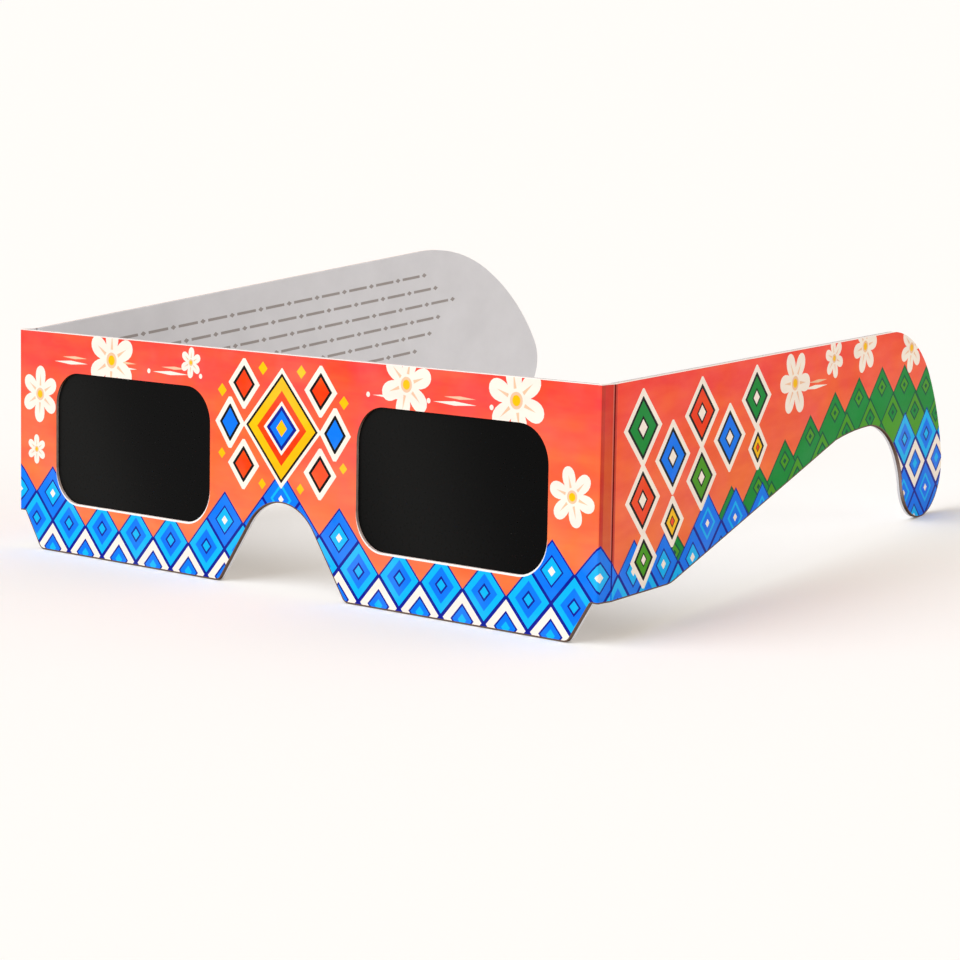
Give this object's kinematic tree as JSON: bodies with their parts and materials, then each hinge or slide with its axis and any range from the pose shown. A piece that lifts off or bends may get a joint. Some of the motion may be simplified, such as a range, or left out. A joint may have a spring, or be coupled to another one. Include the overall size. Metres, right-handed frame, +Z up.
{
  "type": "eclipse glasses",
  "caption": "Folding glasses of laminated printed card for viewing the sun, with dark film windows, a nose notch and hooked temples on double creases.",
  "frame": {"origin": "on the table, under the middle of the whole object's box as it stands half open", "axes": "+X along the front to the wearer's left, +Y back along the temples, +Z up; the front leans back 4.1 degrees as it stands"},
  "size_m": [0.1381, 0.1256, 0.0441],
  "materials": {
    "front_outer_card": "satin",
    "front_inner_card": "matte",
    "front_adhesive_layer": "matte",
    "lens_film_left": "gloss",
    "lens_film_right": "gloss",
    "hinge_strip_left": "satin",
    "temple_left_outer_card": "satin",
    "temple_left_inner_card": "matte",
    "temple_left_adhesive_layer": "matte",
    "hinge_strip_right": "satin",
    "temple_right_outer_card": "satin",
    "temple_right_inner_card": "matte",
    "temple_right_adhesive_layer": "matte"
  },
  "bodies": {
    "front": {"front_outer_card": "front_outer_card", "front_inner_card": "front_inner_card", "front_adhesive_layer": "front_adhesive_layer", "lens_film_left": "lens_film_left", "lens_film_right": "lens_film_right"},
    "strip_left": {"hinge_strip_left": "hinge_strip_left"},
    "temple_left": {"temple_left_outer_card": "temple_left_outer_card", "temple_left_inner_card": "temple_left_inner_card", "temple_left_adhesive_layer": "temple_left_adhesive_layer"},
    "strip_right": {"hinge_strip_right": "hinge_strip_right"},
    "temple_right": {"temple_right_outer_card": "temple_right_outer_card", "temple_right_inner_card": "temple_right_inner_card", "temple_right_adhesive_layer": "temple_right_adhesive_layer"}
  },
  "joints": [
    {"name": "corner_crease_left", "type": "hinge", "parent": "front", "child": "strip_left", "pos_m": [0.06878, -0.06095, 0.02245], "axis": [0, 0.0717, 0.9974], "range_deg": [-94, 2]},
    {"name": "temple_crease_left", "type": "hinge", "parent": "strip_left", "child": "temple_left", "pos_m": [0.06858, -0.05816, 0.02225], "axis": [0, 0.0717, 0.9974], "range_deg": [-8, 76]},
    {"name": "corner_crease_right", "type": "hinge", "parent": "front", "child": "strip_right", "pos_m": [-0.06878, -0.06095, 0.02245], "axis": [0, -0.0717, -0.9974], "range_deg": [-88, 8]},
    {"name": "temple_crease_right", "type": "hinge", "parent": "strip_right", "child": "temple_right", "pos_m": [-0.06887, -0.05816, 0.02225], "axis": [0, -0.0717, -0.9974], "range_deg": [-5.8, 73.2]}
  ]
}
